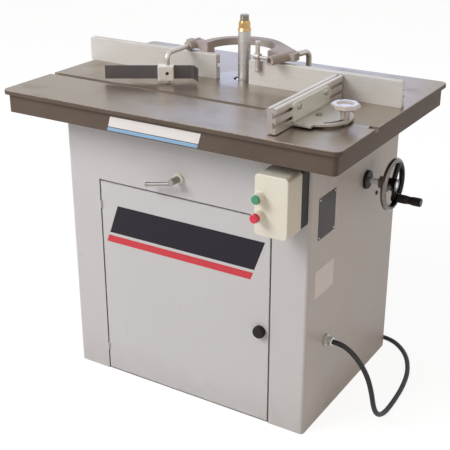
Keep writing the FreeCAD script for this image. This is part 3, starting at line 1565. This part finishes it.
def make_hold_band():
    """Spring band through the block, curled forward at its right end."""
    y0, y1, z0, z1 = band_section(0)
    flat = box(-band_left, band_right, y0, y1, z0, z1)
    centre = Vector(band_right, band_offset - band_curl_radius, z0)
    outer = Part.makeCylinder(band_curl_radius + band_thickness / 2, z1 - z0, centre, Z_AXIS,
                              band_curl_angle)
    curl = outer.cut(Part.makeCylinder(band_curl_radius - band_thickness / 2, z1 - z0, centre))
    curl.rotate(centre, Z_AXIS, 90 - band_curl_angle)
    tip = box(band_right, band_right + band_tip, y0, y1, z0, z1)
    tip.rotate(centre, Z_AXIS, -band_curl_angle)
    return swung(united(flat, curl, tip))


# Mitre gauge

def make_gauge_bar():
    """Bar that slides in the table slot."""
    half = mitre_slot_width / 2 - gauge_bar_clearance
    low = table_top_z - mitre_slot_depth + gauge_bar_clearance
    bar = box(pivot_x - gauge_bar_left, pivot_x + gauge_bar_right, mitre_slot_y - half, mitre_slot_y + half,
              low, table_top_z - gauge_bar_clearance)
    holes = [upright(pivot_screw_radius, pivot_x, mitre_slot_y, low, table_top_z)]
    holes.append(upright(gauge_stud_radius, knob_x, mitre_slot_y, low, table_top_z))
    return bar.cut(holes)


def make_gauge_pivot():
    """Pivot screw with the spacer under the head plate."""
    bar_top = table_top_z - gauge_bar_clearance
    spacer_top = head_bottom - sliding_gap
    plate_top = head_bottom + head_plate + sliding_gap
    low = table_top_z - mitre_slot_depth + gauge_bar_clearance
    return united(upright(pivot_screw_radius, pivot_x, mitre_slot_y, low, plate_top),
                  upright(pivot_head_radius, pivot_x, mitre_slot_y, bar_top, spacer_top),
                  upright(pivot_head_radius, pivot_x, mitre_slot_y, plate_top, plate_top + pivot_head_depth))


def gauge_bolt_places():
    """Points of the bolts that hold the extrusion to the head wall."""
    z = extrusion_bottom + extrusion_slot_heights[1]
    return [(mitre_slot_y + side * gauge_bolt_spread, z) for side in (-1, 1)]


def tab_screw_places():
    """Plan points of the stop screws on the head tabs."""
    x = extrusion_right + tab_screw_reach
    return [(x, mitre_slot_y + side * tab_screw_spread) for side in (-1, 1)]


def arc_slot(low, high):
    """Curved slot for the knob's stud."""
    pivot = Vector(pivot_x, mitre_slot_y, low)
    start = FreeCAD.Rotation(Z_AXIS, -arc_slot_half_angle).multVec(X_AXIS)
    outer = Part.makeCylinder(arc_slot_radius + arc_slot_width / 2, high - low, pivot, Z_AXIS,
                              2 * arc_slot_half_angle)
    band = outer.cut(Part.makeCylinder(arc_slot_radius - arc_slot_width / 2, high - low, pivot))
    band.rotate(pivot, Z_AXIS, -arc_slot_half_angle)
    first = pivot + start * arc_slot_radius
    last = pivot + FreeCAD.Rotation(Z_AXIS, arc_slot_half_angle).multVec(X_AXIS) * arc_slot_radius
    ends = [Part.makeCylinder(arc_slot_width / 2, high - low, place) for place in (first, last)]
    return united(band, *ends)


def make_gauge_head():
    """Angle head: upright wall and a rounded foot plate with a curved slot."""
    top = head_bottom + head_plate
    left = extrusion_right
    disc = upright(head_arc_radius, pivot_x, mitre_slot_y, head_bottom, top)
    disc = disc.common(box(left, pivot_x + head_arc_radius, mitre_slot_y - head_half_length,
                           mitre_slot_y + head_half_length, head_bottom, top))
    tabs = []
    for side in (-1, 1):
        far = mitre_slot_y + side * head_half_length
        near = far - side * head_tab_length
        inner = near - side * head_tab_length / 2
        corners = [Vector(left, far, head_bottom), Vector(left + head_tab_width, far, head_bottom),
                   Vector(left + head_tab_width, near, head_bottom), Vector(left, inner, head_bottom)]
        tabs.append(prism(corners, Z_AXIS * head_plate))
    wall = rounded_slab(left, left + head_plate, mitre_slot_y - head_half_length,
                        mitre_slot_y + head_half_length,
                        head_bottom, head_bottom + head_wall_height, head_wall_corner, X_AXIS)
    foot = box(left, left + head_plate, mitre_slot_y - head_half_length, mitre_slot_y + head_half_length,
               head_bottom, top)
    head = united(disc, *tabs, foot, wall)
    cuts = [upright(pivot_screw_radius + running_clearance, pivot_x, mitre_slot_y, head_bottom, top)]
    cuts.append(arc_slot(head_bottom, top))
    cuts += [along_x(m8_radius, left, left + head_plate, y, z) for y, z in gauge_bolt_places()]
    cuts += [upright(screw_radius, x, y, head_bottom, top) for x, y in tab_screw_places()]
    return head.cut(cuts)


def make_gauge_extrusion():
    """Aluminium extrusion with two tee slots on each side and a groove along its top."""
    left = extrusion_right - extrusion_width
    right = extrusion_right
    top = extrusion_bottom + extrusion_height
    bar = box(left, right, extrusion_front, extrusion_back, extrusion_bottom, top)
    cuts = []
    middle = (left + right) / 2
    cuts.append(box(middle - top_slot_neck / 2, middle + top_slot_neck / 2, extrusion_front, extrusion_back,
                    top - top_slot_depth, top))
    for height in extrusion_slot_heights:
        z = extrusion_bottom + height
        cuts.append(box(right - extrusion_slot_floor, right, extrusion_front, extrusion_back,
                        z - extrusion_slot_neck / 2, z + extrusion_slot_neck / 2))
        cuts.append(box(right - extrusion_slot_floor, right - extrusion_slot_lip, extrusion_front,
                        extrusion_back, z - extrusion_slot_head / 2, z + extrusion_slot_head / 2))
    bar = bar.cut(united(*cuts))
    ridges = [e for e in edges_along(bar, Y_AXIS) if e.BoundBox.ZMin > top - 1e-6]
    return bar.makeFillet(extrusion_ridge_round, ridges)


def make_gauge_bolts():
    """Bolts through the head wall into the extrusion's slot, and the stop screws on the tabs."""
    face = extrusion_right + head_plate
    nut_face = extrusion_right - extrusion_slot_lip
    nut_depth = extrusion_slot_floor - extrusion_slot_lip - sliding_gap
    bolts = []
    for y, z in gauge_bolt_places():
        shank = along_x(m8_radius - sliding_gap, nut_face - nut_depth, face, y, z)
        head = hexagon(m8_flats, Vector(face, y, z), X_AXIS, gauge_bolt_head_depth)
        half = extrusion_slot_head / 2 - sliding_gap
        nut = box(nut_face - nut_depth, nut_face, y - half, y + half, z - half, z + half)
        bolts.append(united(shank, head, nut))
    bolts += [pan_screw(Vector(x, y, head_bottom + head_plate), Z_AXIS * -1, head_plate)
              for x, y in tab_screw_places()]
    return Part.makeCompound(bolts)


def make_gauge_stud():
    """Stud of the lock knob, fixed in the bar."""
    low = table_top_z - mitre_slot_depth + gauge_bar_clearance
    return upright(gauge_stud_radius, knob_x, mitre_slot_y, low, head_bottom + head_plate + gauge_knob_stem)


def make_gauge_knob():
    """Eight-sided lock knob with a dished top, on a round stem."""
    low = head_bottom + head_plate + sliding_gap
    plate_low = low + gauge_knob_stem
    top = plate_low + gauge_knob_depth
    plate = polygon_bar(gauge_knob_sides, gauge_knob_radius, Vector(knob_x, mitre_slot_y, plate_low), Z_AXIS,
                        gauge_knob_depth)
    plate = plate.makeChamfer(gauge_knob_chamfer, [e for e in plate.Edges if e.BoundBox.ZLength < 1e-6])
    dish = Part.makeCone(gauge_knob_dish - gauge_knob_dish_depth, gauge_knob_dish, gauge_knob_dish_depth,
                         Vector(knob_x, mitre_slot_y, top - gauge_knob_dish_depth))
    knob = united(plate.cut(dish), upright(gauge_knob_stem_radius, knob_x, mitre_slot_y, low, plate_low))
    return knob.cut(upright(gauge_stud_radius + running_clearance, knob_x, mitre_slot_y, low, plate_low))


# Wall plug, gland, cord and plug

def make_wall_plug():
    """Small plug in the cabinet side."""
    return united(along_x(wall_plug_radius, cabinet_x, cabinet_x + wall_plug_depth, wall_plug_y,
                          wall_plug_z),
                  along_x(wall_plug_stem, cabinet_x - wall_plug_stem_depth, cabinet_x, wall_plug_y,
                          wall_plug_z))


def make_gland():
    """Cable gland: hexagon, domed cap and the thread through the wall."""
    hex_end = cabinet_x + gland_hex_depth
    dome = along_x(gland_dome_radius, hex_end, gland_nose, gland_y, gland_z)
    dome = dome.makeFillet(gland_dome_round, [e for e in dome.Edges if e.BoundBox.XMin > gland_nose - 1e-6])
    inner = cabinet_x - gland_thread_length
    return united(hexagon(gland_flats, Vector(cabinet_x, gland_y, gland_z), X_AXIS, gland_hex_depth), dome,
                  along_x(gland_thread_radius, inner, cabinet_x, gland_y, gland_z))


def make_cord():
    """Free stretch of the cord: straight runs joined by arcs as large as the runs allow."""
    edges = []
    radii = []
    place = cord_route[0]
    for before, corner, after in zip(cord_route, cord_route[1:], cord_route[2:]):
        inward = Vector(corner - before)
        outward = Vector(after - corner)
        reach = cord_arc_share * min(inward.Length, outward.Length)
        radii.append(reach / math.tan(inward.getAngle(outward) / 2))
        arc_start = corner - inward.normalize() * reach
        arc_end = corner + outward.normalize() * reach
        edges.append(Part.LineSegment(place, arc_start).toShape())
        edges.append(arc_from(arc_start, inward, arc_end).toShape())
        place = arc_end
    edges.append(Part.LineSegment(place, cord_route[-1]).toShape())
    cord = swept(edges, cord_radius)
    length = sum(edge.Length for edge in edges)
    print("cord stretch", round(length), "mm, least radius", round(min(radii)),
          "mm, volume over section times length",
          round(cord.Volume / (math.pi * cord_radius ** 2 * length), 4))
    return cord


def coil_edges():
    """The coil's line: a spiral in on the floor, a climb in its tightest half turn and a spiral back out."""
    layer = cord_diameter + coil_layer_gap
    inward = [(coil_radius - step * coil_pitch / 2, coil_floor) for step in range(coil_half_turns + 1)]
    outward = [(radius, coil_floor + layer) for radius, low in reversed(inward)]
    points = []
    for index, (radius, z) in enumerate(inward + outward):
        side = -1 if index % 2 == 0 else 1
        points.append((Vector(coil_x, coil_y + side * radius, z), Vector(side, 0, 0)))
    first, heading = points[0]
    edges = [Part.LineSegment(first - heading * cord_diameter, first).toShape()]
    for (start, tangent), (end, end_tangent) in zip(points, points[1:]):
        joint = (start + end) / 2 + tangent * ((end - start).Length / 2)
        edges.append(arc_from(start, tangent, joint).toShape())
        edges.append(arc_from(joint, Vector(end - start).normalize(), end).toShape())
    last, heading = points[-1]
    edges.append(Part.LineSegment(last, last + heading * coil_tail).toShape())
    return edges


def print_coil_gap(edges):
    """Measure the coil's least gap to itself on points along its line."""
    spacing = cord_radius / 2
    samples = []
    distance = 0
    for edge in edges:
        count = max(2, int(edge.Length / spacing))
        for point in edge.discretize(count)[:-1]:
            samples.append((distance, point))
            distance += edge.Length / (count - 1)
    apart = 4 * cord_diameter
    least = min(p.distanceToPoint(q) for i, (a, p) in enumerate(samples)
                for b, q in samples[i + 1:] if b - a > apart)
    length = sum(edge.Length for edge in edges)
    print("coil length", round(length), "mm, least gap to itself", round(least - cord_diameter, 2), "mm")


def make_coil():
    """The rest of the cord, coiled on the floor."""
    edges = coil_edges()
    print_coil_gap(edges)
    return swept(edges, cord_radius)


def make_coil_tie():
    """Strap round the coil's turns, on its left side."""
    least = coil_radius - coil_half_turns * coil_pitch / 2
    inner_x = coil_x - coil_radius - cord_radius - tie_strap_gap
    outer_x = coil_x - least + cord_radius + tie_strap_gap
    low = coil_floor - cord_radius - tie_strap_gap
    high = coil_floor + cord_diameter + coil_layer_gap + cord_radius + tie_strap_gap
    half = tie_strap_width / 2
    strap_box = box(inner_x - tie_strap, outer_x + tie_strap, coil_y - half, coil_y + half, low - tie_strap,
                    high + tie_strap)
    return strap_box.cut(box(inner_x, outer_x, coil_y - half, coil_y + half, low, high))


def make_plug():
    """Plain three-pin plug at the end of the coil."""
    base = Vector(coil_x + coil_tail, coil_y + coil_radius, coil_floor + cord_diameter + coil_layer_gap)
    shoulder = plug_neck_length + plug_face_depth
    end = plug_neck_length + plug_length
    profile = [(0, 0), (plug_neck_radius, 0), (plug_neck_radius, plug_neck_length), (plug_radius, shoulder),
               (plug_radius, end), (0, end)]
    pieces = [turned(profile, base, X_AXIS)]
    face = base + X_AXIS * end
    for index in range(plug_pin_count):
        turn = FreeCAD.Rotation(X_AXIS, 360 * index / plug_pin_count)
        start = face + turn.multVec(Z_AXIS * plug_pin_circle)
        pieces.append(rod(plug_pin_radius, start, start + X_AXIS * plug_pin_length))
    return united(*pieces)


def make_parts():
    """Every node by its name."""
    return {
        "table": make_table(),
        "insert_ring_outer": make_outer_ring(),
        "insert_ring_inner": make_inner_ring(),
        "cabinet_shell": make_cabinet_shell(),
        "cabinet_base": make_cabinet_base(),
        "back_panel": make_back_panel(),
        "frame_bolts": make_frame_bolts(),
        "door": make_door(),
        "door_hinge_halves": Part.makeCompound(hinge_halves(1, hinge_pin_radius + running_clearance)),
        "frame_hinge_halves": Part.makeCompound(hinge_halves(-1, hinge_pin_radius) + hinge_pins()),
        "door_knob": make_door_knob(),
        "spindle": make_spindle(),
        "spacer_collars": make_collars(),
        "spindle_nut": make_spindle_nut(),
        "spindle_pulley": make_spindle_pulley(),
        "spindle_bearings": Part.makeCompound([make_bearing(barrel_top - bearing_width),
                                               make_bearing(barrel_bottom)]),
        "carriage": Part.makeCompound([make_carriage(), make_lift_nut()]),
        "guide_columns": make_columns(),
        "slide_bracket": make_slide_bracket(),
        "slide_tie": make_slide_tie(),
        "lift_screw": Part.makeCompound([make_lift_screw(),
                                         make_bevel_gear(Z_AXIS * -1, lift_screw_radius)]),
        "wheel_shaft": Part.makeCompound([make_wheel_shaft(), make_bevel_gear(X_AXIS, wheel_shaft_radius)]),
        "side_fittings": Part.makeCompound([make_wall_flange(), make_wall_plug()]),
        "handwheel": Part.makeCompound([make_handwheel(), make_grip_bolt()]),
        "grip": make_grip(),
        "motor_plate": make_motor_plate(),
        "motor_plate_bolts": make_plate_bolts(),
        "motor_body": Part.makeCompound([make_motor(), make_fan_cover(), make_terminal_box()]),
        "motor_pulley": Part.makeCompound([make_motor_pulley(), make_motor_shaft()]),
        "drive_belts": make_belts(),
        "lock_bush": make_lock_bush(),
        "lock_lever": make_lock_lever(),
        "switch_base": make_switch_base(),
        "switch_cover": make_switch_cover(),
        "button_collars": make_button_collars(),
        "start_button": make_button(start_z, start_reach),
        "stop_button": make_button(stop_z, stop_reach),
        "fence_bow": make_fence_bow(),
        "fence_plate_left": make_fence_plate(-1),
        "fence_plate_right": make_fence_plate(1),
        "fence_tee_bolts": make_plate_tee_bolts(),
        "fence_studs": make_studs(),
        "fence_knob_left": make_fence_knob(-1),
        "fence_knob_right": make_fence_knob(1),
        "rod_clamp": make_rod_clamp(),
        "hold_down_rod": make_hold_rod(),
        "parked_rod": make_parked_rod(),
        "hold_down_block": Part.makeCompound([make_hold_block(), make_hold_screw()]),
        "hold_down_band": make_hold_band(),
        "gauge_bar": make_gauge_bar(),
        "gauge_pins": Part.makeCompound([make_gauge_pivot(), make_gauge_stud()]),
        "gauge_head": make_gauge_head(),
        "gauge_extrusion": make_gauge_extrusion(),
        "gauge_bolts": make_gauge_bolts(),
        "gauge_knob": make_gauge_knob(),
        "cable_gland": make_gland(),
        "cord": make_cord(),
        "cord_coil": make_coil(),
        "coil_tie": make_coil_tie(),
        "plug": make_plug(),
    }


os.makedirs("parts", exist_ok=True)
for name, shape in make_parts().items():
    shape.exportStep(f"parts/{name}.step")
    print(name, len(shape.Solids), "valid" if shape.isValid() else "INVALID", round(shape.Volume))
